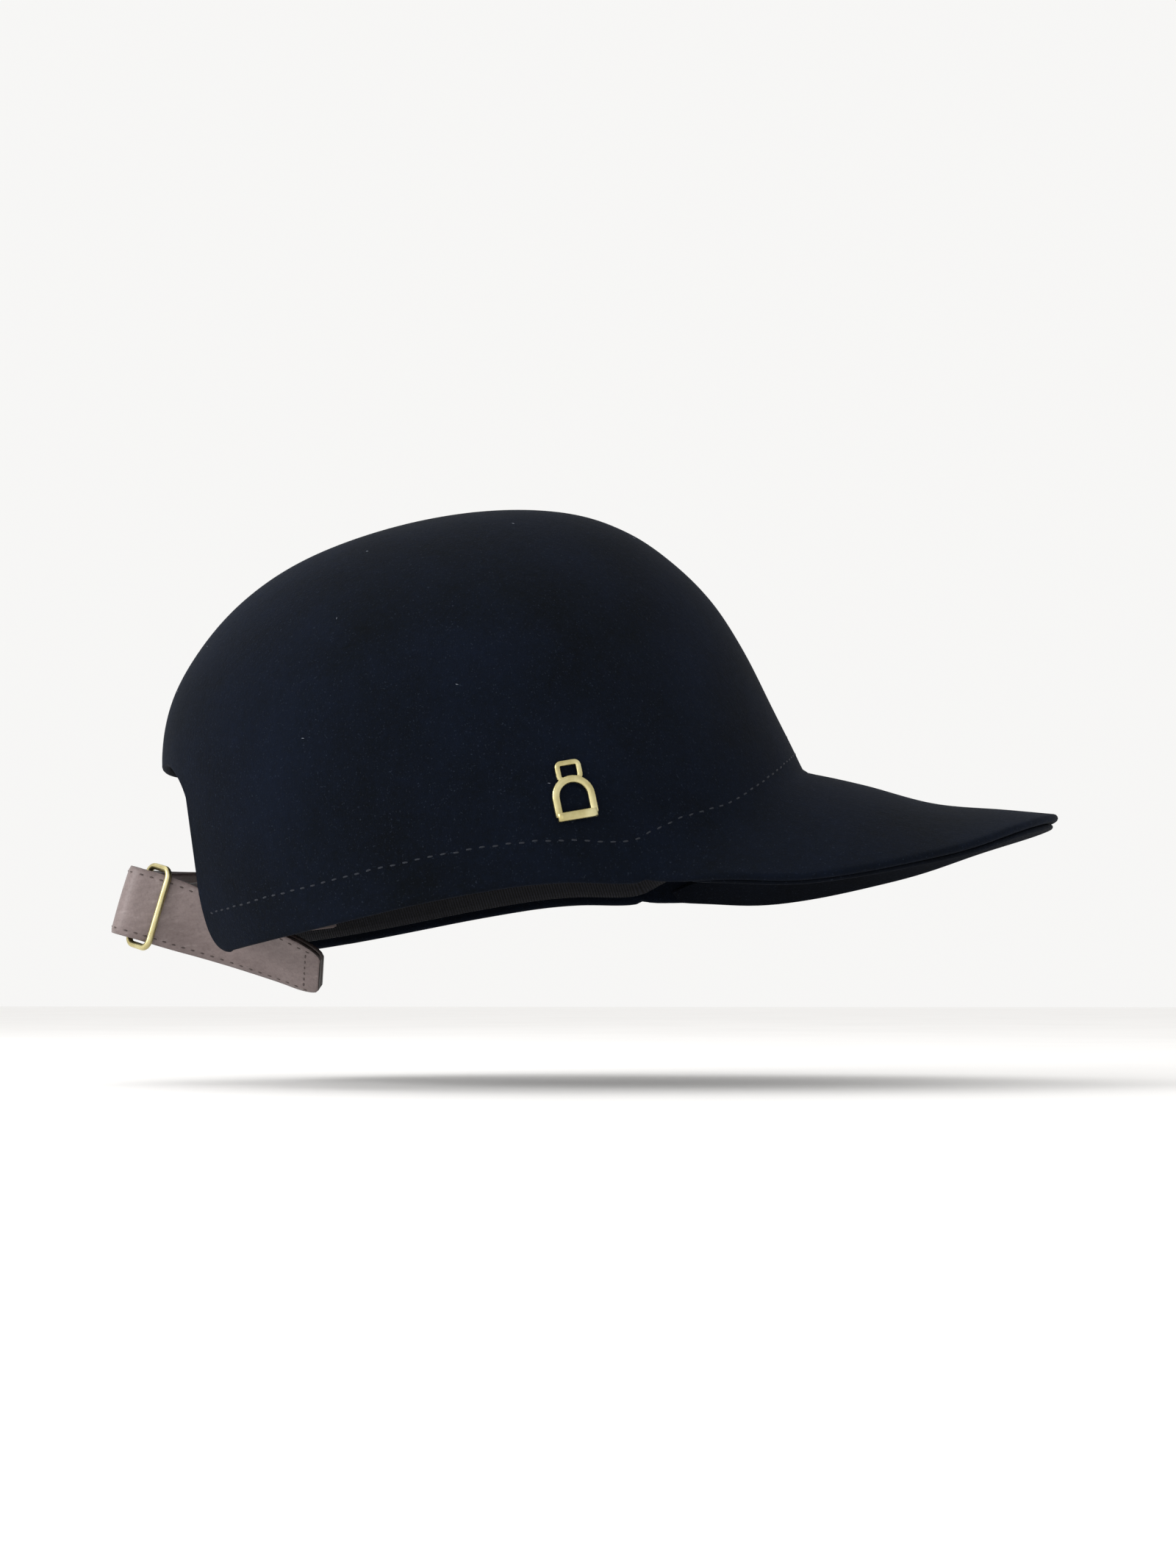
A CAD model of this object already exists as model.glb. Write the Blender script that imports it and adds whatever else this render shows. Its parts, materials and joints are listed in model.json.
import json
import math
import random

import bmesh
import bpy
import numpy as np
from mathutils import Matrix, Vector


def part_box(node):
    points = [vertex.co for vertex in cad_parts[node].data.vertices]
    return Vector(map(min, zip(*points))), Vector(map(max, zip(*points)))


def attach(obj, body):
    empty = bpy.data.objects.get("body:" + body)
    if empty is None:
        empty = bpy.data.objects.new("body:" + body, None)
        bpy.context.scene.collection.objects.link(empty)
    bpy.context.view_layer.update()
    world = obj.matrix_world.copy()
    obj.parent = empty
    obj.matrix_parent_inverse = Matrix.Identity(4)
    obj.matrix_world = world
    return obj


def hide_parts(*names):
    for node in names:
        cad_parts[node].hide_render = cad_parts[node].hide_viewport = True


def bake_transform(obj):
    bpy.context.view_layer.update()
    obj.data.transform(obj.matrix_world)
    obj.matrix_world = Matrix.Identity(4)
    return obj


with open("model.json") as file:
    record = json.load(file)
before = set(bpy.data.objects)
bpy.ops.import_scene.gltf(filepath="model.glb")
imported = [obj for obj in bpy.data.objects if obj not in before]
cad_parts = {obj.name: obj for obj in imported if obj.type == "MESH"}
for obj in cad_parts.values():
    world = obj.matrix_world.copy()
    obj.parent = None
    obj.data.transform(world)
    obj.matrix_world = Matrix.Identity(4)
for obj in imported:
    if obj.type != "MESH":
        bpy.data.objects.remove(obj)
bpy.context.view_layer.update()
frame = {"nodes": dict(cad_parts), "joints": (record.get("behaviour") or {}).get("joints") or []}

MM = 0.001

# Sizes of the cap in millimetres, taken from the frame where it states them
crown_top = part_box("felt_body")[1].z / MM
peak_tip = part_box("felt_body")[1].x / MM
felt_thickness = 2.5
peak_root = 60.0
peak_half_width = 79.0
peak_build = 4.8  # felt, board and under-peak together
under_top = 3.25  # under-peak, measured down from the top of the peak
board_top = 2.55
board_base = 3.2
rim_lift = 0.4  # outer face over the rim's lowest edge, where there is no peak
crease_front = 2.2  # radius of the fold between crown and peak
crease_side = 9.0
opening_half_width = 34.0  # at the rim
opening_flare = 8.5
opening_height = 56.0
opening_shoulder = 20.0
opening_corner = 9.0
seam_rise = 11.0

# Levels of the crown: height as a share of the top, then back, front and half width
CROWN_LEVELS = (
    (-0.35, 91.0, 105.0, 82.0),
    (-0.14, 94.0, 103.0, 84.0),
    (0.00, 96.5, 101.2, 85.2),
    (0.16, 98.6, 98.0, 85.4),
    (0.34, 99.6, 92.2, 83.2),
    (0.50, 98.4, 86.6, 78.8),
    (0.64, 92.6, 79.8, 71.6),
    (0.76, 81.6, 70.4, 61.6),
    (0.86, 67.0, 59.0, 49.4),
    (0.935, 48.8, 44.0, 35.4),
    (0.983, 25.8, 22.6, 18.6),
    (1.00, 2.0, -2.0, 0.0),
)
# Rim surface: distance from the origin, height on the centre line, droop over 1000
RIM_STATIONS = (
    (-140.0, -4.4, 0.10),
    (-75.0, -4.2, 0.10),
    (-15.0, -2.4, 0.10),
    (18.0, -1.0, 0.50),
    (40.0, 7.2, 2.50),
    (60.0, 17.5, 4.85),
    (80.0, 20.0, 6.45),
    (98.0, 14.1, 6.25),
    (115.0, 6.8, 5.65),
    (135.0, -3.0, 4.50),
    (157.0, -9.2, 3.60),
    (185.0, -17.0, 3.00),
)


def spline_rows(rows, steps):
    """A smooth curve through rows of numbers, as a denser array (Catmull-Rom)."""
    points = np.array(rows, float)
    first = 2 * points[0] - points[1]
    last = 2 * points[-1] - points[-2]
    padded = np.vstack([first, points, last])
    dense = []
    for index in range(1, len(padded) - 2):
        p0, p1, p2, p3 = padded[index - 1:index + 3]
        for step in range(steps):
            t = step / steps
            dense.append(0.5 * (2 * p1 + (p2 - p0) * t + (2 * p0 - 5 * p1 + 4 * p2 - p3) * t * t
                                + (3 * p1 - p0 - 3 * p2 + p3) * t ** 3))
    dense.append(points[-1])
    return np.array(dense)


def crown_curve():
    """Heights and radii of the crown from the pole down, rounded over the pole."""
    mirrored = list(CROWN_LEVELS)
    height, back, front, half = CROWN_LEVELS[-2]
    mirrored.append((height, 4.0 - back, -4.0 - front, -half))
    dense = spline_rows(mirrored, 24)[:24 * (len(CROWN_LEVELS) - 1) + 1][::-1]
    dense[:, 0] *= crown_top
    return dense


CROWN = crown_curve()
RIM = spline_rows(RIM_STATIONS, 16)


def smooth_share(value):
    """0 to 1 with flat ends."""
    value = min(1.0, max(0.0, value))
    return value * value * (3 - 2 * value)


def crown_at(height):
    """Back, front and half width of the crown at a height."""
    heights = CROWN[::-1, 0]
    return [float(np.interp(height, heights, CROWN[::-1, column])) for column in (1, 2, 3)]


def wall_point(angle, height):
    """A point of the crown's outer wall."""
    back, front, half = crown_at(height)
    radius = 0.5 * (front + back)
    return np.array([0.5 * (front - back) + radius * math.cos(angle), half * math.sin(angle), height])


def rim_height(x, y):
    """Height of the lowest edge of the cap over a point of the plan."""
    centre = float(np.interp(x, RIM[:, 0], RIM[:, 1]))
    droop = float(np.interp(x, RIM[:, 0], RIM[:, 2]))
    return centre - droop * y * y / 1000


def peak_edge(angle, start):
    """Where a ray from a wall point leaves the peak's outline, going out at an angle in plan."""
    reach = peak_tip - peak_root
    direction = np.array([math.cos(angle), math.sin(angle)])
    offset = np.array([start[0] - peak_root, start[1]])
    a = (direction[0] / reach) ** 2 + (direction[1] / peak_half_width) ** 2
    b = 2 * (offset[0] * direction[0] / reach ** 2 + offset[1] * direction[1] / peak_half_width ** 2)
    c = (offset[0] / reach) ** 2 + (offset[1] / peak_half_width) ** 2 - 1
    root = b * b - 4 * a * c
    if root <= 0:
        return 0.0
    return max(0.0, (-b + math.sqrt(root)) / (2 * a))


# Mesh helpers
def mesh_object(name, points, faces):
    """A new object from points in millimetres."""
    mesh = bpy.data.meshes.new(name)
    mesh.from_pydata([tuple(float(c) * MM for c in point) for point in points], [], faces)
    mesh.validate()
    mesh.update()
    mesh.polygons.foreach_set("use_smooth", [True] * len(mesh.polygons))
    obj = bpy.data.objects.new(name, mesh)
    bpy.context.scene.collection.objects.link(obj)
    return obj


def skin_faces(rows, size, ring=False, wrap=True, flip=False):
    """Faces over rows of points: ring joins the last row to the first, wrap closes each row."""
    faces = []
    for row in range(rows if ring else rows - 1):
        here = row * size
        following = (row + 1) % rows * size
        for column in range(size if wrap else size - 1):
            after = (column + 1) % size
            quad = (here + column, here + after, following + after, following + column)
            faces.append(quad[:1] + quad[:0:-1] if flip else quad)
    if not ring:
        ends = (tuple(range(size)), tuple(range(rows * size - 1, (rows - 1) * size - 1, -1)))
        faces += [end if flip else end[::-1] for end in ends]
    return faces


def wrap_edge(upper, lower, edge_out, rounding):
    """Two grids as one: over the upper, round the outer edge and back along the lower."""
    middle = 0.5 * (upper[:, -1] + lower[:, -1])
    arm = 0.5 * (upper[:, -1] - lower[:, -1])
    reach = np.linalg.norm(arm, axis=1, keepdims=True)
    lines = list(np.moveaxis(upper, 1, 0))
    for step in range(1, rounding):
        turn = math.pi * step / rounding
        lines.append(middle + arm * math.cos(turn) + edge_out * reach * math.sin(turn))
    lines += list(np.moveaxis(lower, 1, 0))[::-1]
    return np.stack(lines, axis=1)


def rounded_rectangle(half_x, half_y, corner, steps):
    """Corner points of a rectangle with round corners, as (x, y) round its middle."""
    outline = []
    for sign_x, sign_y, begin in ((1, 1, 0), (-1, 1, 90), (-1, -1, 180), (1, -1, 270)):
        for step in range(steps + 1):
            turn = math.radians(begin + 90 * step / steps)
            outline.append((sign_x * (half_x - corner) + corner * math.cos(turn),
                            sign_y * (half_y - corner) + corner * math.sin(turn)))
    return outline


def placed(directions, origin):
    """A placement from its three axis directions and its origin."""
    place = Matrix([[float(part) for part in direction] for direction in directions]).transposed().to_4x4()
    place.translation = origin
    return place


def distances(line):
    """Distance along a polyline to each of its points."""
    steps = np.linalg.norm(np.diff(line, axis=0), axis=1)
    return np.concatenate([[0.0], np.cumsum(steps)])


def at_distance(wanted, along, field):
    """What a field holds at other distances along its line."""
    return np.stack([np.interp(wanted, along, field[:, axis]) for axis in range(3)], axis=-1)


def unit(vectors):
    """Vectors at length one."""
    return vectors / np.maximum(np.linalg.norm(vectors, axis=-1, keepdims=True), 1e-9)


# The felt's outer surface: meridians from the crown's pole to the rim or the peak's edge
WALL_POINTS = 84
TOE_POINTS = 40
MERIDIAN_POINTS = 420
STITCH_RINGS = 7
STITCH_SIDES = 8
WIRE_SIDES = 20
BAR_SIDES = 16
PEAK_POINTS = 26
RIM_STEP = 2.1  # between meridians along the rim


def opening_outline():
    """One side of the back opening from its lower corner up: (distance from the middle, height)."""
    low = rim_height(-90, opening_half_width) + opening_corner
    shoulder = opening_height - opening_shoulder
    flat = opening_half_width + opening_flare - opening_shoulder
    outline = []
    for turn in np.linspace(0, math.pi / 2, 13)[1:]:
        outline.append((opening_half_width + opening_corner * (1 - math.sin(turn)),
                        low - opening_corner * math.cos(turn)))
    for share in np.linspace(0, 1, 15)[1:]:
        outline.append((opening_half_width + opening_flare * smooth_share(share),
                        low + (shoulder - low) * share))
    for turn in np.linspace(0, math.pi / 2, 17)[1:]:
        outline.append((flat + opening_shoulder * math.cos(turn),
                        shoulder + opening_shoulder * math.sin(turn)))
    return outline + [(flat * (1 - step / 10), opening_height) for step in range(1, 11)]


def half_rim():
    """Lower ends of the meridians from the middle of the front to the middle of the back."""
    ends = []
    angle = 0.0
    corner_angle = math.pi - math.asin((opening_half_width + opening_corner) / crown_at(0)[2])
    while angle < corner_angle:
        ends.append((angle, None))
        back, front, half = crown_at(0)
        radius = 0.5 * (front + back)
        angle += RIM_STEP / math.hypot(radius * math.sin(angle), half * math.cos(angle))
    for across, height in opening_outline():
        share = min(1.0, across / crown_at(height)[2])
        ends.append((math.pi - math.asin(share), height))
    return ends


def face_height(x, y, weight):
    """Height of the outer face at its lower end: on top of the peak at weight 1, at the rim at 0."""
    return rim_height(x, y) + weight * peak_build + (1 - weight) * rim_lift


def meridian(upper, lower, height):
    """One line of the felt's outer face: its points, and the length of its toe in the peak."""
    start = wall_point(lower, 0.0)
    toward = math.atan2(start[1] * 0.86, start[0] - 2.0)
    if height is None:
        level = 20.0
        for _ in range(12):
            foot = wall_point(lower, level)
            target = rim_height(foot[0], foot[1]) + (peak_build if foot[0] > 0 else 0.0)
            level = 0.5 * level + 0.5 * target
        foot = wall_point(lower, level)
        reach = peak_edge(toward, foot) if foot[0] > 20 else 0.0
        weight = smooth_share(reach / 16.0)
        level = face_height(foot[0], foot[1], weight)
    else:
        level, reach, weight = height, 0.0, 0.0
    rows = []
    for height_now in CROWN[:, 0]:
        if height_now < level:
            break
        drop = (crown_top - height_now) / max(crown_top - level, 1e-6)
        rear = smooth_share((lower - 1.2) / 1.0)
        turned = (1 - rear) * smooth_share(drop ** 0.8) + rear * drop ** 2.4
        rows.append(wall_point(upper + (lower - upper) * turned, height_now))
    rows.append(wall_point(lower, level))
    foot = rows[-1]
    steps = int(reach / 1.2)
    for step in range(1, steps + 1):
        out = reach * step / steps
        x = foot[0] + out * math.cos(toward)
        y = foot[1] + out * math.sin(toward)
        rows.append(np.array([x, y, face_height(x, y, weight)]))
    along = distances(rows)
    return at_distance(np.linspace(0, along[-1], MERIDIAN_POINTS), along, np.array(rows)), reach


def soften_crease(line, reach):
    """Rounds the fold between crown and peak: tight in front, wide towards the sides."""
    if reach <= 0.5:
        return line
    along = distances(line)
    crease = along[-1] - reach
    front_share = smooth_share((reach - 20) / 50)
    radius = crease_side * (1 - front_share) + crease_front * front_share
    near = np.exp(-((along - crease) / (radius * 2.2)) ** 2)[:, None]
    passes = int(radius ** 2 / np.diff(along).mean() ** 2)
    for _ in range(min(passes, 400)):
        middle = line.copy()
        middle[1:-1] = 0.5 * (line[:-2] + line[2:])
        line = line + near * 0.9 * (middle - line)
    return line


def outer_surface():
    """Grid of outer points, one row a meridian, all round the cap."""
    ends = half_rim()
    count = len(ends)
    rows, reaches = [], []
    for number, (lower, height) in enumerate(ends):
        upper = math.pi * number / (count - 1)
        line, reach = meridian(upper, lower, height)
        line = soften_crease(line, reach)
        along = distances(line)
        split = along[-1] - max(12.0, reach + 8.0)
        wall = np.linspace(0, split, WALL_POINTS, endpoint=False)
        foot = np.linspace(split, along[-1], TOE_POINTS)
        rows.append(at_distance(np.concatenate([wall, foot]), along, line))
        reaches.append(reach)
    half = np.array(rows)
    mirrored = half[-2:0:-1] * np.array([1, -1, 1])
    grid = np.concatenate([half, mirrored])
    reaches = np.array(reaches + reaches[-2:0:-1])
    for _ in range(6):
        around = 0.5 * (np.roll(grid, 1, axis=0) + np.roll(grid, -1, axis=0))
        evening = np.where(reaches > 0.1, 0.5, 0.1)[:, None, None] * np.ones((1, grid.shape[1], 1))
        evening[:, :2] = 0
        evening[reaches <= 0.1, -1] = 0
        grid = grid + evening * (around - grid)
    return grid, reaches


def hand_wave(x, y, z):
    """How far a hand-blocked felt swells at a point."""
    broad = 0.45 * np.sin(x / 31 + 1.2) * np.sin(y / 27 + 0.4)
    return 0.7 * (broad + 0.3 * np.sin(x / 17 + y / 23 + z / 19) + 0.2 * np.sin(y / 11 - z / 13 + 2.0))


def grid_normals(grid):
    """Outward normals of the closed grid, evened out along the cut at the back."""
    around = np.roll(grid, -1, axis=0) - np.roll(grid, 1, axis=0)
    down = np.empty_like(grid)
    down[:, 1:-1] = grid[:, 2:] - grid[:, :-2]
    down[:, 0] = grid[:, 1] - grid[:, 0]
    down[:, -1] = grid[:, -1] - grid[:, -2]
    normals = unit(np.cross(down, around))
    normals[:, 0] = (0, 0, 1)
    normals[:, 1] = unit(normals[:, 1] + np.array([0, 0, 2.0]))
    at_back = grid[:, -1, 0] < -60
    for row in np.flatnonzero(at_back):
        for column in range(grid.shape[1] - TOE_POINTS, grid.shape[1]):
            x, y, z = grid[row, column]
            normals[row, column] = wall_normal(x, y, z)
    return normals


def wall_angle(x, y, height):
    """Angle round the crown at which a point of its wall stands."""
    back, front, half = crown_at(height)
    return math.atan2(y / half, (x - 0.5 * (front - back)) / (0.5 * (front + back)))


def wall_normal(x, y, z):
    """Which way the crown's wall faces at a point of it."""
    level = max(z, -30.0)
    back, front, half = crown_at(level)
    angle = wall_angle(x, y, level)
    along = np.array([-0.5 * (front + back) * math.sin(angle), half * math.cos(angle), 0.0])
    return unit(np.cross(along, wall_point(angle, level + 2.0) - wall_point(angle, level)))


EVEN_FACE, REACHES = outer_surface()
OUTER = EVEN_FACE + grid_normals(EVEN_FACE) * hand_wave(*np.moveaxis(EVEN_FACE, 2, 0))[..., None]
NORMALS = grid_normals(OUTER)


def merge_close(obj, distance=0.00002):
    """Joins points that coincide, such as those at the crown's pole."""
    work = bmesh.new()
    work.from_mesh(obj.data)
    bmesh.ops.remove_doubles(work, verts=work.verts, dist=distance)
    bmesh.ops.recalc_face_normals(work, faces=work.faces)
    work.to_mesh(obj.data)
    work.free()
    return obj


def felt_crown_and_peak():
    """The one-piece felt, a closed sheet whose cut edge is rounded."""
    inner = OUTER - NORMALS * felt_thickness
    middle = 0.5 * (OUTER[:, -1] + inner[:, -1])
    arm = 0.5 * (OUTER[:, -1] - inner[:, -1])
    along_edge = np.roll(middle, -1, axis=0) - np.roll(middle, 1, axis=0)
    edge_out = unit(np.cross(along_edge, arm))
    if np.sum(edge_out * (OUTER[:, -1] - OUTER[:, -2])) < 0:
        edge_out = -edge_out
    skin = wrap_edge(OUTER, inner, edge_out, 6)
    rows, columns = skin.shape[:2]
    faces = skin_faces(rows, columns, ring=True, wrap=False)
    return merge_close(mesh_object("felt_cap", skin.reshape(-1, 3), faces))


def peak_layer(name, top, base, set_back, least_reach, inner_share):
    """A layer under the felt of the peak, on the meridians that reach out far enough."""
    half = len(REACHES) // 2
    upper_rows, lower_rows = [], []
    for index in range(half + 1 - len(REACHES), half + 1):
        if REACHES[index] <= least_reach:
            continue
        line = OUTER[index, -TOE_POINTS:]
        along = distances(line)
        first = along[-1] - REACHES[index] * inner_share + 1.0
        wanted = np.linspace(max(0.0, first), along[-1] - set_back, PEAK_POINTS)
        place = at_distance(wanted, along, line)
        facing = unit(at_distance(wanted, along, NORMALS[index, -TOE_POINTS:]))
        upper_rows.append(place - facing * top)
        lower_rows.append(place - facing * base)
    return strip_solid(name, np.array(upper_rows), np.array(lower_rows), 5)


def strip_solid(name, upper, lower, rounding):
    """A closed solid between two open grids, with its long outer edge rounded."""
    skin = wrap_edge(upper, lower, unit(upper[:, -1] - upper[:, -2]), rounding)
    rows, across = skin.shape[:2]
    obj = mesh_object(name, skin.reshape(-1, 3), skin_faces(rows, across))
    layer = obj.data.uv_layers.new(name="lay")
    for loop in obj.data.loops:
        row, column = divmod(loop.vertex_index, across)
        layer.data[loop.index].uv = (row / (rows - 1), column / across)
    return merge_close(obj)


# Sweatband, its seam and the label
band_space = 1.5
band_thickness = 0.9
band_width = 27.0
band_rise = 1.6
band_ripple = 0.35  # how far its upper edge waves
band_lean = 0.25  # share of the wall's slope that a standing ribbon follows
bent_shrink = 0.97  # length inside the wall over length along the wall
label_rise = 5.5  # above the band's lower edge
label_width = 16.0
label_thickness = 0.3
label_gap = 0.45
label_reach = 8  # meridians to each side
seam_pitch = 3.7
seam_stitch = 2.1
seam_thread = 0.55


def wall_station(index, rise):
    """A point of the outer wall at a height above the foot of the wall, with its normal."""
    line = OUTER[index]
    if REACHES[index] <= 0.1:
        x, y, z = line[-1]
        place = wall_point(wall_angle(x, y, z), z + rise)
        facing = wall_normal(*place)
        return place + facing * hand_wave(*place), facing
    along = distances(line)
    wanted = along[-1] - REACHES[index] - rise
    return at_distance(wanted, along, line), unit(at_distance(wanted, along, NORMALS[index]))


def rim_indices():
    """Meridians between the two edges of the back opening, going round by the front."""
    half = len(REACHES) // 2
    kept = []
    for index in range(-half, half + 1):
        foot = OUTER[index % len(REACHES), -1]
        if foot[0] > -60 or (abs(foot[1]) > opening_half_width + 3.0 and foot[2] < 4.0):
            kept.append(index % len(REACHES))
    return kept


def standing_strip(name, indices, low, width, steps, depth, thickness, ripple, rounding):
    """A strip that stands inside the wall, at a depth below its outer face."""
    top_rows, base_rows = [], []
    for number, index in enumerate(indices):
        upper, lower = [], []
        for step in range(steps + 1):
            place, facing = wall_station(index, low + width * step / steps)
            facing = unit(facing * np.array([1, 1, band_lean]))
            inwards = depth + ripple * math.sin(number * 0.21) * step / steps
            upper.append(place - facing * inwards)
            lower.append(place - facing * (inwards + thickness))
        top_rows.append(upper)
        base_rows.append(lower)
    return strip_solid(name, np.array(top_rows), np.array(base_rows), rounding)


def ribbon():
    """The sweatband: a ribbed ribbon standing just inside the wall."""
    return standing_strip("sweatband_ribbon", rim_indices(), band_rise, band_width, 12,
                          felt_thickness + band_space, band_thickness, band_ripple, 5)


def laid_length(indices):
    """Length of a strip inside the wall before it is bent round, in millimetres."""
    line = [wall_station(index, band_rise)[0] for index in indices]
    return distances(line)[-1] * bent_shrink


def capsule(centre, along, outward, length, thickness):
    """Points of one stitch: a short flattened length of thread, sunk at its ends."""
    along = unit(along)
    side = unit(np.cross(along, outward))
    up = np.cross(side, along)
    points = []
    for t in np.linspace(-1, 1, STITCH_RINGS):
        size = math.sqrt(max(0.0, 1 - abs(t) ** 3.2))
        middle = centre + along * (t * length / 2) - up * (0.35 * thickness * t * t)
        for step in range(STITCH_SIDES):
            turn = 2 * math.pi * step / STITCH_SIDES
            offset = side * math.cos(turn) + up * (math.sin(turn) * 0.75)
            points.append(middle + offset * (size * thickness / 2))
    return points


def stitches(name, rows, length, thickness):
    """One object of many stitches, each given by centre, direction and outward normal."""
    points, faces = [], []
    pattern = skin_faces(STITCH_RINGS, STITCH_SIDES)[:-2]
    for centre, along, outward in rows:
        faces += [tuple(corner + len(points) for corner in face) for face in pattern]
        points += capsule(centre, along, outward, length, thickness)
    return merge_close(mesh_object(name, points, faces), 0.000002)


def spaced(line, pitch):
    """Places along a line of (point, normal) at an even pitch, with direction."""
    points, normals = (np.array(part) for part in zip(*line))
    along = distances(points)
    result = []
    for value in np.arange(pitch, along[-1] - pitch / 2, pitch):
        centre = at_distance(value, along, points)
        ahead = at_distance(value + 0.5, along, points)
        result.append((centre, ahead - centre, at_distance(value, along, normals)))
    return result


def seam():
    """Small hand-sized stitches in the face of the felt."""
    random.seed(11)
    rows = []
    line = [wall_station(index, seam_rise) for index in rim_indices()]
    for centre, along, outward in spaced(line, seam_pitch):
        centre = centre - outward * 0.02 + np.array([0, 0, random.uniform(-0.15, 0.15)])
        along = along + np.array([0, 0, random.uniform(-0.04, 0.04)])
        rows.append((centre, along, outward))
    return stitches("sweatband_seam_thread", rows, seam_stitch, seam_thread)


LABEL_INDICES = range(-label_reach, label_reach + 1)


def blank_label():
    """A blank satin label on the sweatband at the front of the head."""
    depth = felt_thickness + band_space + band_thickness + label_gap
    return standing_strip("blank_label", LABEL_INDICES, band_rise + label_rise, label_width, 8,
                          depth, label_thickness, 0.0, 3)


# Strap, ring and tab
strap_width = 21.0
strap_layer = 1.4
ply_gap = 0.02  # from the middle of the strap to each ply
lining_trim = 0.3
strap_crown = 0.22  # how much higher the middle of the face is
strap_tip = 9.0  # length over which the tip is rounded
tip_narrowing = 0.34
side_round = 0.27  # how far the face drops at its sides
edge_margin = 1.8  # edge stitches: from the edge, pitch and first place
edge_pitch = 3.0
edge_start = 14.0
edge_proud = 0.06  # middle of a stitch over the face
tip_row_proud = 0.2
tip_row_back = 5.2  # stitches across the tip: back from the end, margin and pitch
tip_row_margin = 3.2
tip_row_pitch = 2.6
strap_stitch = 1.7
strap_cord = 0.5
tab_width = 18.0
tab_layer = 1.1
tab_bore_gap = 0.08
tab_crown = 0.12
wire_diameter = 2.0
ring_clearance = 0.7  # strap's edge to wire, each side
ring_corner = 2.6
ring_stop = 14  # the station of the route where the ring's rear bar stands
# Middle of the strap: x, y, z, then how far its width tilts forward and leans out
STRAP_ROUTE = (
    (-61.5, 55.0, 11.5, 0, 0),
    (-67.5, 49.8, 11.6, 0, 0),
    (-73.5, 43.4, 11.8, 0, 0),
    (-79.0, 35.6, 12.2, 2, 0),
    (-86.5, 30.6, 12.9, 8, 0),
    (-94.5, 26.9, 13.9, 16, 0),
    (-102.5, 22.8, 15.1, 23, 0),
    (-108.6, 16.4, 16.1, 26, 0),
    (-112.4, 8.0, 16.7, 26, 0),
    (-113.9, -3.0, 16.9, 26, 0),
    (-114.0, -13.0, 17.0, 26, 0),
    (-113.9, -21.5, 16.95, 26, 0),
    (-113.3, -25.6, 16.6, 26, 0),
    (-111.2, -27.9, 15.6, 26, 0),
    (-106.2, -28.2, 13.2, 26, 0),
    (-101.5, -27.9, 10.8, 26, 5),
    (-96.5, -26.8, 8.1, 26, 13),
    (-91.0, -25.8, 5.0, 26, 22),
    (-85.0, -25.6, 1.4, 27, 30),
    (-79.0, -26.2, -2.4, 27, 37),
    (-73.0, -27.2, -6.3, 28, 43),
    (-67.0, -28.4, -10.3, 28, 48),
    (-58.1, -30.1, -16.2, 28, 51),
)
TAB_ROUTE = (
    (-102.5, -22.3, 11.5, 26, 5),
    (-95.0, -20.4, 9.6, 24, 14),
    (-87.0, -19.4, 9.8, 18, 18),
    (-79.0, -19.8, 11.6, 12, 14),
    (-71.0, -25.2, 13.4, 6, 8),
    (-61.5, -53.6, 14.0, 0, 0),
    (-52.5, -61.4, 14.0, 0, 0),
)


def strap_frames(route, steps=14):
    """Centres and the run, width and outward directions along a smooth route."""
    dense = spline_rows(route, steps)
    centres = dense[:, :3]
    run = unit(np.gradient(centres, axis=0))
    tilt = np.radians(dense[:, 3])
    up = np.column_stack([np.sin(tilt), np.zeros(len(tilt)), np.cos(tilt)])
    up = unit(up - run * np.sum(up * run, axis=1, keepdims=True))
    outward = np.cross(run, up)
    lean = np.radians(dense[:, 4])[:, None]
    width = up * np.cos(lean) + outward * np.sin(lean)
    return centres, run, width, np.cross(run, width)


def leather_profile(width, low, high, crown):
    """Cross-section of a leather layer: sides rounded over, the face slightly crowned."""
    top, base = [], []
    for share in np.linspace(-1, 1, 19):
        edge = max(0.0, abs(share) - 0.93) / 0.07
        top.append((share * width / 2, high + crown * (1 - share * share) - side_round * edge * edge))
        base.append((share * width / 2, low + 0.1 * edge))
    return top + base[::-1]


def edged_strip(name, points, size, materials, flip):
    """A strip from its sections; its two long edges and its ends get the second material."""
    obj = mesh_object(name, points, skin_faces(len(points) // size, size, flip=flip))
    for material in materials:
        obj.data.materials.append(material)
    ends = len(obj.data.polygons) - 2
    for polygon in obj.data.polygons:
        at_edge = polygon.index % size in (size // 2 - 1, size - 1)
        polygon.material_index = int(at_edge or polygon.index >= ends)
    return obj


def leather_strip(name, frames, width, low, high, crown, materials):
    """A leather layer along frames, rounded at the last end."""
    centres, run, across, outward = frames
    along = distances(centres)
    section = leather_profile(width, low, high, crown)
    points = []
    for index in range(len(centres)):
        left = min(1.0, (along[-1] - along[index]) / strap_tip)
        narrow = 1 - tip_narrowing * (1 - math.sqrt(1 - (1 - left) ** 2))
        for place, height in section:
            points.append(centres[index] + across[index] * (place * narrow) + outward[index] * height)
    return edged_strip(name, points, len(section), materials, True)


def edge_rows(frames):
    """Two rows of stitches along the strap's edges."""
    along = distances(frames[0])
    rows = []
    for value in np.arange(edge_start, along[-1] - edge_pitch / 2, edge_pitch):
        centre, run, side, out = (at_distance(value, along, field) for field in frames)
        for sign in (1, -1):
            place = centre + side * (sign * (strap_width / 2 - edge_margin))
            rows.append((place + out * (strap_layer + edge_proud), run, out))
    return rows


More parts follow.
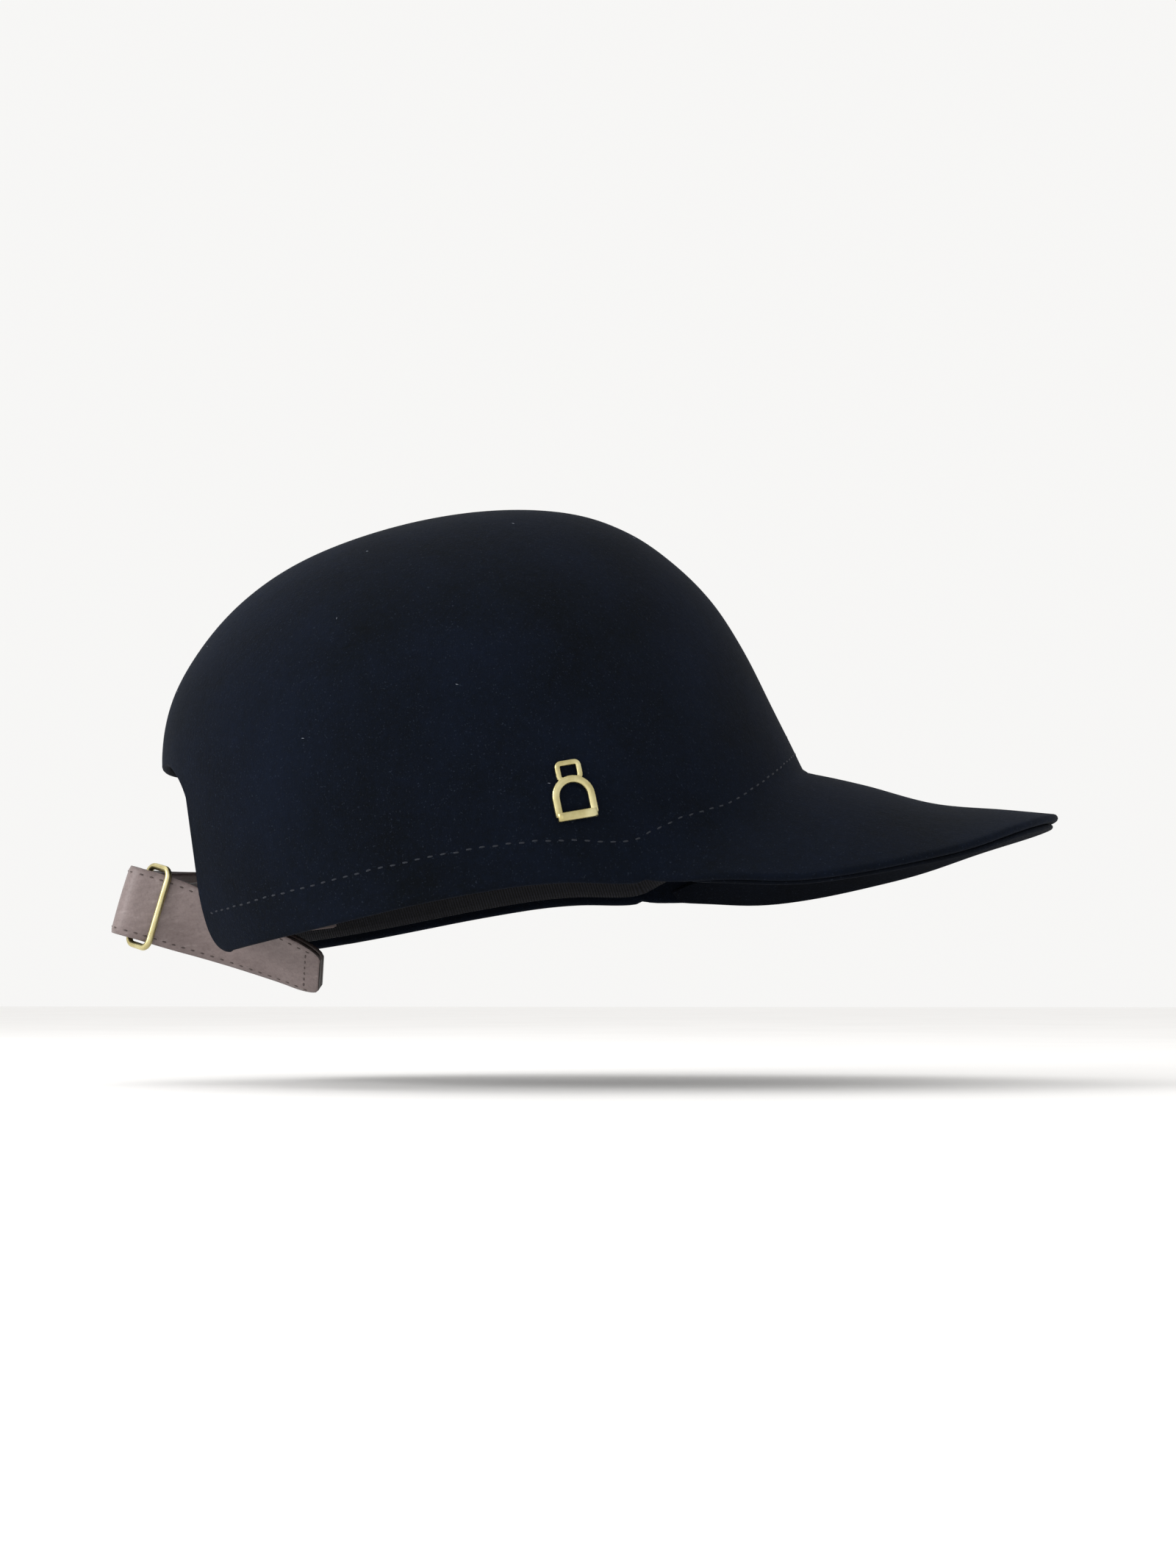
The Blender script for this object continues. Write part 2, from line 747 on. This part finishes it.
def tip_row(frames):
    """A row of stitches across the strap near its tip."""
    centres, run, across, outward = frames
    along = distances(centres)
    index = int(np.argmin(np.abs(along - along[-1] + tip_row_back)))
    count = int((strap_width - 2 * tip_row_margin) / tip_row_pitch)
    rows = []
    for number in range(count + 1):
        place = centres[index] + across[index] * ((number - count / 2) * tip_row_pitch)
        rows.append((place + outward[index] * (strap_layer + tip_row_proud), across[index], outward[index]))
    return rows


def ring_geometry():
    """Centres of the ring's front and rear bars and the direction of the bars."""
    low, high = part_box("ring")
    joint = next(joint for joint in frame["joints"] if joint["name"] == "ring_swing")
    axis = np.array(joint["axis"], float)
    axis = axis / np.linalg.norm(axis)
    rear = np.array(joint["pos_m"], float) / MM
    centre = np.array((low + high) * 0.5) / MM
    centre = centre - axis * np.dot(centre - rear, axis)
    return rear, 2 * centre - rear, axis


def wire_ring():
    """The rectangular loop of round wire, its corners bent."""
    rear, front, axis = ring_geometry()
    depth = np.linalg.norm(front - rear)
    arm = (front - rear) / depth
    half_length = (strap_width + 2 * ring_clearance + wire_diameter) / 2
    outline = rounded_rectangle(half_length, depth / 2, ring_corner, 8)
    corners = [0.5 * (front + rear) + axis * x + arm * y for x, y in outline]
    path = []
    for a, b in zip(corners, corners[1:] + corners[:1]):
        pieces = max(1, int(np.linalg.norm(b - a) / 1.2))
        path += [a + (b - a) * piece / pieces for piece in range(pieces)]
    run = unit(np.roll(path, -1, axis=0) - np.roll(path, 1, axis=0))
    normal = np.cross(axis, arm)
    points = []
    for centre, side in zip(path, np.cross(run, normal)):
        for step in range(WIRE_SIDES):
            turn = 2 * math.pi * step / WIRE_SIDES
            points.append(centre + (normal * math.cos(turn) + side * math.sin(turn)) * wire_diameter / 2)
    return mesh_object("wire_ring", points, skin_faces(len(path), WIRE_SIDES, ring=True, flip=True))


def folded_tab(materials):
    """The leather strip folded round the ring's rear bar, its two plies closed behind it."""
    rear, front, axis = ring_geometry()
    neck = ((*rear, *STRAP_ROUTE[ring_stop][3:]),) + TAB_ROUTE
    centres, run, across, outward = strap_frames(neck, 12)
    bore = wire_diameter / 2 + tab_bore_gap
    start = 7
    outer_ply, inner_ply = [], []
    for index in range(start, len(centres)):
        gap = 0.02 + max(0.0, 1 - index / 16) ** 1.5 * (bore - 0.1)
        outer_ply.append((centres[index] + outward[index] * gap, outward[index]))
        inner_ply.append((centres[index] - outward[index] * gap, -outward[index]))
    bend = []
    for step in range(1, 18):
        turn = math.pi * step / 18
        direction = outward[0] * math.cos(turn) - run[0] * math.sin(turn)
        bend.append((rear + direction * bore, direction))
    widths = [*across[:start - 1:-1], *([axis] * len(bend)), *across[start:]]
    half = tab_width / 2
    steps = np.linspace(-half, half, 11)
    section = [(offset, 0) for offset in steps] + [(-offset, 1) for offset in steps]
    points = []
    for (place, direction), width in zip(outer_ply[::-1] + bend + inner_ply, widths):
        for offset, outside in section:
            bulge = (1 - abs(offset / half) ** 6) * tab_crown
            height = outside * (tab_layer - tab_crown + bulge)
            points.append(place + width * offset + direction * height)
    return merge_close(edged_strip("ring_tab_leather", points, len(section), materials, False), 0.000001)


# Emblem: a plain stirrup
emblem_width = 12.4
emblem_height = 17.0
emblem_bar = 2.2
bow_share = 0.74  # of the emblem's height
eye_share = 0.62  # of its width
eye_bar = 0.8  # half the eye's bar
eye_corner = 1.1
emblem_lift = 0.35


def emblem_matrix():
    """Place of the emblem: its middle on the felt, X along the wall, Y up, Z out."""
    low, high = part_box("emblem")
    x = 0.5 * (low.x + high.x) / MM
    z = 0.5 * (low.z + high.z) / MM
    gap = np.abs(OUTER[..., 0] - x) + np.abs(OUTER[..., 2] - z) + 1000 * (OUTER[..., 1] >= 0)
    spot = np.unravel_index(np.argmin(gap), gap.shape)
    out = unit(NORMALS[spot])
    up = unit(np.array([0, 0, 1.0]) - out * out[2])
    return placed((np.cross(up, out), up, out), (OUTER[spot] + out * emblem_lift) * MM)


def flat_bar(path, half_height, half_width, closed):
    """A bar of flattened round section along a flat path of (x, y) points in millimetres."""
    line = np.array(path, float)
    run = np.gradient(line, axis=0)
    if closed:
        run = np.roll(line, -1, axis=0) - np.roll(line, 1, axis=0)
    run = unit(run)
    points = []
    for (x, y), (run_x, run_y) in zip(line, run):
        for step in range(BAR_SIDES):
            turn = 2 * math.pi * step / BAR_SIDES
            across, rise = (math.copysign(abs(part) ** 0.72, part)
                            for part in (math.cos(turn), math.sin(turn)))
            points.append((x + run_y * across * half_width, y - run_x * across * half_width,
                           half_height * (1 + rise)))
    return points, skin_faces(len(line), BAR_SIDES, ring=closed)


def bow_path():
    """The stirrup's bow: up one side, round the top and down the other."""
    foot = (emblem_bar - emblem_height) / 2
    radius = (emblem_width - emblem_bar) / 2
    spring = emblem_height * (bow_share - 0.5) - emblem_bar / 2 - radius
    side = np.linspace(foot, spring, 5)
    arch = [math.pi * step / 24 for step in range(1, 24)]
    return ([(-radius, y) for y in side]
            + [(-radius * math.cos(turn), spring + radius * math.sin(turn)) for turn in arch]
            + [(radius, y) for y in side[::-1]])


def eye_path():
    """The eye over the bow, for a stirrup leather."""
    low = emblem_height * (bow_share - 0.5) - emblem_bar / 2
    high = emblem_height / 2 - eye_bar
    outline = rounded_rectangle(emblem_width * eye_share / 2 - eye_bar, (high - low) / 2, eye_corner, 5)
    return [(x, y + (low + high) / 2) for x, y in outline]


def stirrup_emblem():
    """Bow, tread and eye of the stirrup, as one casting."""
    tread_half = emblem_width / 2 - 0.6
    tread = [(x, (emblem_bar - emblem_height) / 2) for x in np.linspace(-tread_half, tread_half, 9)]
    parts = (flat_bar(bow_path(), 0.8, emblem_bar / 2, False),
             flat_bar(tread, 0.9, emblem_bar / 2 + 0.25, False),
             flat_bar(eye_path(), 0.7, eye_bar, True))
    points, faces = [], []
    for new_points, new_faces in parts:
        faces += [tuple(corner + len(points) for corner in face) for face in new_faces]
        points += new_points
    obj = mesh_object("stirrup_emblem", points, faces)
    obj.data.transform(emblem_matrix())
    obj.data.update()
    return obj


# Materials
class Val:
    """A shader value that can be used in ordinary arithmetic."""

    def __init__(self, shader, socket):
        self.shader = shader
        self.socket = socket

    def __add__(self, other):
        return self.shader.math("ADD", self, other)

    __radd__ = __add__

    def __sub__(self, other):
        return self.shader.math("SUBTRACT", self, other)

    def __mul__(self, other):
        return self.shader.math("MULTIPLY", self, other)


class Shader:
    """Builds one material's node tree."""

    def __init__(self, name, color, roughness, metallic=0.0):
        self.material = bpy.data.materials.new(name)
        self.material.use_nodes = True
        self.tree = self.material.node_tree
        self.bsdf = self.tree.nodes["Principled BSDF"]
        self.bsdf.inputs["Base Color"].default_value = linear(color)
        self.bsdf.inputs["Roughness"].default_value = roughness
        self.bsdf.inputs["Metallic"].default_value = metallic

    def node(self, kind, settings=None, **inputs):
        """Make a node: settings first, then each input's value or link."""
        node = self.tree.nodes.new(kind)
        for key, value in (settings or {}).items():
            setattr(node, key, value)
        for key, value in inputs.items():
            index = int(key[1:]) if key[0] == "i" and key[1:].isdigit() else key.replace("_", " ")
            self.feed(node.inputs[index], value)
        return node

    def feed(self, target, value):
        """Link a socket to a value, or set it to a constant."""
        value = getattr(value, "socket", value)
        if hasattr(value, "is_output"):
            self.tree.links.new(value, target)
        else:
            target.default_value = value

    def math(self, operation, *values):
        inputs = {f"i{index}": value for index, value in enumerate(values)}
        return Val(self, self.node("ShaderNodeMath", {"operation": operation}, **inputs).outputs[0])

    def place(self):
        """The object's own coordinates in metres."""
        return self.node("ShaderNodeTexCoord").outputs["Object"]

    def axes(self, kind="Object"):
        """The parts of the object's own coordinates or of the laid-out ones."""
        parts = self.node("ShaderNodeSeparateXYZ", i0=self.node("ShaderNodeTexCoord").outputs[kind])
        return [Val(self, part) for part in parts.outputs]

    def scaled(self, factors):
        node = self.node("ShaderNodeVectorMath", {"operation": "MULTIPLY"}, i0=self.place(), i1=factors)
        return node.outputs[0]

    def noise(self, scale, detail, rough, where=None):
        where = self.place() if where is None else where
        node = self.node("ShaderNodeTexNoise", Vector=where, Scale=scale, Detail=detail, Roughness=rough)
        return Val(self, node.outputs[0])

    def cells(self, scale):
        node = self.node("ShaderNodeTexVoronoi", Vector=self.place(), Scale=scale)
        return Val(self, node.outputs["Distance"])

    def ramp(self, value, low, high):
        """Zero at low, one at high, clamped between."""
        node = self.node("ShaderNodeMapRange", {"clamp": True}, Value=value, From_Min=low, From_Max=high)
        return Val(self, node.outputs[0])

    def mix(self, factor, first, second):
        """Blend two colours."""
        first, second = (linear(tone) if isinstance(tone, tuple) else tone for tone in (first, second))
        return self.node("ShaderNodeMix", {"data_type": "RGBA"}, i0=factor, i6=first, i7=second).outputs[2]

    def bump(self, height, distance, strength):
        return self.node("ShaderNodeBump", Height=height, Distance=distance, Strength=strength).outputs[0]

    def set(self, **values):
        """Set or link the shader's own sockets."""
        for key, value in values.items():
            self.feed(self.bsdf.inputs[key.replace("_", " ")], value)
        return self.material


def linear(color):
    """A linear colour from 0-255 screen values."""
    parts = []
    for value in color:
        share = value / 255
        parts.append(share / 12.92 if share <= 0.04045 else ((share + 0.055) / 1.055) ** 2.4)
    return (*parts, 1.0)


def felt_material(name, dark, light, nap, sheen):
    """Pressed wool felt: soft mottling, matted fibres and a faint sheen."""
    sh = Shader(name, dark, 0.95)
    broad = sh.noise(26, 4, 0.55)
    fine = sh.noise(900, 6, 0.72)
    clumps = sh.noise(330, 4, 0.6)
    flecks = sh.ramp(sh.noise(2100, 2, 0.4), 0.64, 0.76)
    shade = sh.ramp(broad * 0.5 + fine * 0.32 + clumps * 0.18, 0.38, 0.64)
    color = sh.mix(shade, dark, light)
    color = sh.mix(flecks * 0.16, color, (74, 84, 100))
    stretched = sh.scaled((1.0, 1.0, 0.35))
    fibres = sh.noise(1500, 5, 0.7, stretched)
    height = fine * 0.55 + clumps * 0.55 + fibres * 0.5
    normal = sh.bump(height, 0.00042 * nap, 0.75)
    sh.set(Sheen_Weight=sheen, Sheen_Roughness=0.55, Sheen_Tint=linear((120, 138, 170)))
    sh.set(Specular_IOR_Level=0.08)
    return sh.set(Base_Color=color, Roughness=0.88 + fine * 0.1, Normal=normal)


def leather_material(name, base, light, worn):
    """Fine grained leather with pores, soft stains and a light polish."""
    sh = Shader(name, base, 0.5)
    stain = sh.noise(55, 5, 0.6)
    grain = sh.cells(1500)
    pores = sh.cells(640)
    creases = sh.noise(260, 6, 0.65, sh.scaled((1.0, 1.0, 2.6)))
    shade = sh.ramp(stain * 0.6 + creases * 0.4, 0.36, 0.66)
    color = sh.mix(shade, base, light)
    color = sh.mix(sh.ramp(creases, 0.60, 0.78) * 0.35, color, worn)
    color = sh.mix(sh.ramp(grain, 0.55, 0.95) * 0.22, color, tuple(int(value * 0.62) for value in base))
    height = grain * -0.5 + pores * -0.35 + creases * 0.6
    sh.set(Specular_IOR_Level=0.5, Coat_Roughness=0.38, Coat_Weight=0.22)
    return sh.set(Base_Color=color, Roughness=0.40 + stain * 0.22 + grain * 0.1,
                  Normal=sh.bump(height, 0.00016, 0.6))


def edge_material(name, base, light):
    """Painted leather edge: dark, slightly uneven and a little glossy."""
    sh = Shader(name, base, 0.5)
    wear = sh.noise(420, 5, 0.6)
    fibre = sh.noise(1600, 3, 0.6)
    color = sh.mix(sh.ramp(wear, 0.48, 0.72), base, light)
    sh.set(Specular_IOR_Level=0.4)
    return sh.set(Base_Color=color, Roughness=0.42 + wear * 0.3,
                  Normal=sh.bump(wear * 0.6 + fibre * 0.4, 0.0002, 0.6))


def ribbon_material():
    """Ribbed sweatband ribbon: cross ribs along its length, fine warp ends and edge wear."""
    sh = Shader("grosgrain_ribbon", (20, 20, 24), 0.7)
    along, across, _ = sh.axes("UV")
    ribs = sh.math("SINE", along * (2 * math.pi * 520))
    warp = sh.math("SINE", across * (2 * math.pi * 60))
    worn = sh.noise(240, 4, 0.6)
    color = sh.mix(sh.ramp(ribs * 0.4 + worn, 0.3, 0.9), (13, 13, 16), (34, 35, 42))
    sh.set(Sheen_Weight=0.12, Specular_IOR_Level=0.25)
    return sh.set(Base_Color=color, Roughness=0.62 + worn * 0.25,
                  Normal=sh.bump(ribs * 0.6 + warp * 0.2 + worn * 0.3, 0.00018, 0.8))


def label_material():
    """Woven satin label: fine weave, slight cockle, no words."""
    sh = Shader("satin_weave", (216, 210, 198), 0.4)
    along, across, _ = sh.axes("UV")
    weft = sh.math("SINE", along * (2 * math.pi * 150))
    warp = sh.math("SINE", across * (2 * math.pi * 90))
    soil = sh.noise(300, 4, 0.55)
    edge = sh.ramp(sh.math("ABSOLUTE", across - 0.5), 0.44, 0.49)
    color = sh.mix(sh.ramp(soil, 0.4, 0.7), (222, 216, 204), (190, 184, 174))
    color = sh.mix(edge * 0.5, color, (150, 142, 130))
    sh.set(Sheen_Weight=0.1, Specular_IOR_Level=0.5)
    return sh.set(Base_Color=color, Roughness=0.34 + soil * 0.22,
                  Normal=sh.bump(weft * 0.35 + warp * 0.35 + soil * 0.5, 0.0001, 0.7))


def thread_material(name, base, light):
    """Twisted thread: the ply shows as slanted ridges."""
    sh = Shader(name, base, 0.7)
    x, y, z = sh.axes()
    twist = sh.math("SINE", (x + y * 0.7 + z * 1.3) * 14000.0)
    fuzz = sh.noise(2400, 3, 0.6)
    color = sh.mix(sh.ramp(twist * 0.4 + fuzz, 0.1, 1.0), base, light)
    return sh.set(Base_Color=color, Roughness=0.6 + fuzz * 0.25,
                  Normal=sh.bump(twist * 0.5 + fuzz * 0.4, 0.00012, 0.7))


def metal_material(name, base, light, rough):
    """Plated metal with a soft brushed finish, tiny scratches and handling marks."""
    sh = Shader(name, base, rough, 1.0)
    smudge = sh.noise(120, 4, 0.6)
    brushed = sh.noise(900, 5, 0.7, sh.scaled((1.0, 0.3, 3.0)))
    scratch = sh.ramp(sh.noise(2600, 2, 0.4, sh.scaled((0.25, 1.0, 2.2))), 0.66, 0.72)
    color = sh.mix(sh.ramp(smudge, 0.35, 0.7), base, light)
    return sh.set(Base_Color=color, Roughness=rough + smudge * 0.14 + scratch * 0.18,
                  Normal=sh.bump(brushed * 0.5 + scratch * 0.6, 0.00005, 0.5))


def floor_material():
    """Pale seamless studio card with a trace of fibre."""
    sh = Shader("studio_card", (249, 248, 247), 0.9)
    fibre = sh.noise(420, 4, 0.6)
    broad = sh.noise(9, 2, 0.5)
    color = sh.mix(sh.ramp(broad * 0.7 + fibre * 0.3, 0.4, 0.65), (249, 248, 247), (246, 245, 244))
    sh.set(Specular_IOR_Level=0.15)
    return sh.set(Base_Color=color, Roughness=0.86 + fibre * 0.1, Normal=sh.bump(fibre, 0.0002, 0.3))


# The pieces
felt = felt_material("navy_felt_nap", (3, 6, 11), (8, 15, 28), 1.0, 0.025)
felt_under = felt_material("navy_felt_under_nap", (3, 5, 9), (7, 12, 22), 0.7, 0.02)
leather = leather_material("taupe_leather_grain", (96, 82, 80), (126, 112, 110), (150, 140, 140))
lining = leather_material("lining_leather_grain", (56, 43, 42), (78, 64, 62), (92, 78, 75))
edge_paint = edge_material("painted_edge", (34, 26, 25), (66, 54, 52))
board_material = edge_material("buckram_board", (60, 58, 54), (92, 88, 80))
navy_thread = thread_material("navy_thread_ply", (10, 15, 25), (20, 29, 44))
strap_thread = thread_material("strap_thread_ply", (58, 48, 46), (92, 80, 77))
gold = metal_material("pale_gold_plate", (172, 160, 110), (210, 202, 156), 0.26)
steel = metal_material("steel_plate", (150, 152, 156), (190, 192, 196), 0.3)


def dress(obj, material, slot_name, *nodes):
    """Give a piece its material, slot and the CAD nodes it stands for."""
    if material is not None:
        obj.data.materials.append(material)
    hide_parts(*nodes)
    return obj


def on_hat(obj, material, slot_name, *nodes):
    """A piece that rides on the cap."""
    dress(obj, material, slot_name, *nodes)
    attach(obj, "hat")
    return obj


def along_strap(obj, material, slot_name, *nodes):
    """A piece of the long strap: fixed at the felt, sliding past the ring."""
    dress(obj, material, slot_name, *nodes)
    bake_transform(obj)
    return obj


cap = on_hat(felt_crown_and_peak(), felt, "navy_felt", "felt_body")
on_hat(peak_layer("peak_under_felt", under_top, peak_build, 0.8, 6.0, 1.0), felt_under,
       "navy_felt_under", "under_peak")
on_hat(peak_layer("peak_board_sheet", board_top, board_base, 4.0, 10.0, 0.96), board_material,
       "buckram", "peak_board")
band = on_hat(ribbon(), ribbon_material(), "grosgrain", "sweatband")
on_hat(seam(), navy_thread, "navy_thread", "sweatband_seam")
tag = on_hat(blank_label(), label_material(), "label_satin", "label")

laid_length(rim_indices()) * MM
laid_length(LABEL_INDICES) * MM

FRAMES = strap_frames(STRAP_ROUTE)
face_ply = leather_strip("strap_leather", FRAMES, strap_width, ply_gap, strap_layer, strap_crown,
                         (leather, edge_paint))
lining_ply = leather_strip("strap_lining_leather", FRAMES, strap_width - lining_trim, -strap_layer, -ply_gap,
                           0.0, (lining, edge_paint))
along_strap(face_ply, None, "taupe_leather", "strap_face", "tongue_face")
along_strap(lining_ply, None, "lining_leather", "strap_lining", "tongue_lining")
along_strap(stitches("strap_edge_stitches", edge_rows(FRAMES) + tip_row(FRAMES), strap_stitch, strap_cord),
            strap_thread, "strap_thread", "strap_stitching", "tongue_stitching")

loop = dress(wire_ring(), gold, "pale_gold", "ring")
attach(loop, "ring")
on_hat(folded_tab((lining, edge_paint)), None, "lining_leather", "ring_tab")
on_hat(stirrup_emblem(), gold, "pale_gold", "emblem")
for node_name, material in (("tab_stitches", strap_thread), ("strap_anchor_stitches", strap_thread),
                            ("emblem_plate", steel)):
    node = frame["nodes"][node_name]
    node.data.materials.clear()
    node.data.materials.append(material)


def lint_fibres():
    """A few stray fibres lying on the nap."""
    random.seed(5)
    rows = []
    for _ in range(26):
        index = random.randrange(len(OUTER))
        column = random.randrange(20, WALL_POINTS - 4)
        outward = NORMALS[index, column]
        any_way = np.array([random.uniform(-1, 1) for _ in range(3)])
        rows.append((OUTER[index, column] + outward * 0.05, np.cross(outward, any_way), outward))
    return stitches("stray_fibres", rows, 0.9, 0.14)


lint = lint_fibres()
lint.data.materials.append(thread_material("lint_fibre", (96, 104, 118), (150, 156, 166)))
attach(lint, "hat")


# Floor, lights and camera
floor_height = -60.0
floor_half = 6000.0
look_at = Vector((0.031, 0.0, 0.028))
camera_distance = 0.75
camera_lens = 54.8
camera_rise = math.radians(-5.2)
camera_roll = math.radians(10.5)


def area_light(name, place, target, size, watts):
    """A soft square lamp that looks at a point."""
    data = bpy.data.lights.new(name, "AREA")
    data.size = size
    data.energy = watts
    lamp = bpy.data.objects.new(name, data)
    lamp.location = place
    lamp.rotation_euler = (Vector(target) - Vector(place)).to_track_quat("-Z", "Y").to_euler()
    bpy.context.scene.collection.objects.link(lamp)


def studio_floor():
    """A pale card that the cap is shown over."""
    points = [(x * floor_half, y * floor_half, floor_height) for x, y in ((-1, -1), (1, -1), (1, 1), (-1, 1))]
    floor = mesh_object("studio_floor", points, [(0, 1, 2, 3)])
    floor.rotation_euler = (0.0, camera_roll, 0.0)
    floor.data.materials.append(floor_material())


def pale_world():
    """Even pale surroundings."""
    world = bpy.data.worlds.new("studio_world")
    world.use_nodes = True
    background = world.node_tree.nodes["Background"]
    background.inputs["Color"].default_value = (0.93, 0.925, 0.915, 1.0)
    bpy.context.scene.world = world


def make_camera():
    """The camera: at the cap's side, a little below its middle, rolled so the peak rises."""
    away = Vector((0.0, -math.cos(camera_rise), math.sin(camera_rise)))
    level_right = Vector((1.0, 0.0, 0.0))
    level_up = away.cross(level_right)
    right = level_right * math.cos(camera_roll) - level_up * math.sin(camera_roll)
    up = away.cross(right)
    data = bpy.data.cameras.new("camera")
    data.lens = camera_lens
    camera = bpy.data.objects.new("camera", data)
    camera.matrix_world = placed((right, up, away), look_at + away * camera_distance)
    bpy.context.scene.collection.objects.link(camera)
    bpy.context.scene.camera = camera


bpy.context.scene.view_settings.view_transform = "Standard"
studio_floor()
pale_world()
area_light("key_light", (-0.80, -0.45, 0.55), (0.0, 0.0, 0.03), 0.5, 6.0)
area_light("top_light", (-0.20, 0.15, 0.95), (0.0, 0.0, 0.03), 0.8, 2.0)
area_light("fill_light", (-0.10, -1.00, 0.10), (0.0, 0.0, 0.02), 0.9, 1.5)
make_camera()
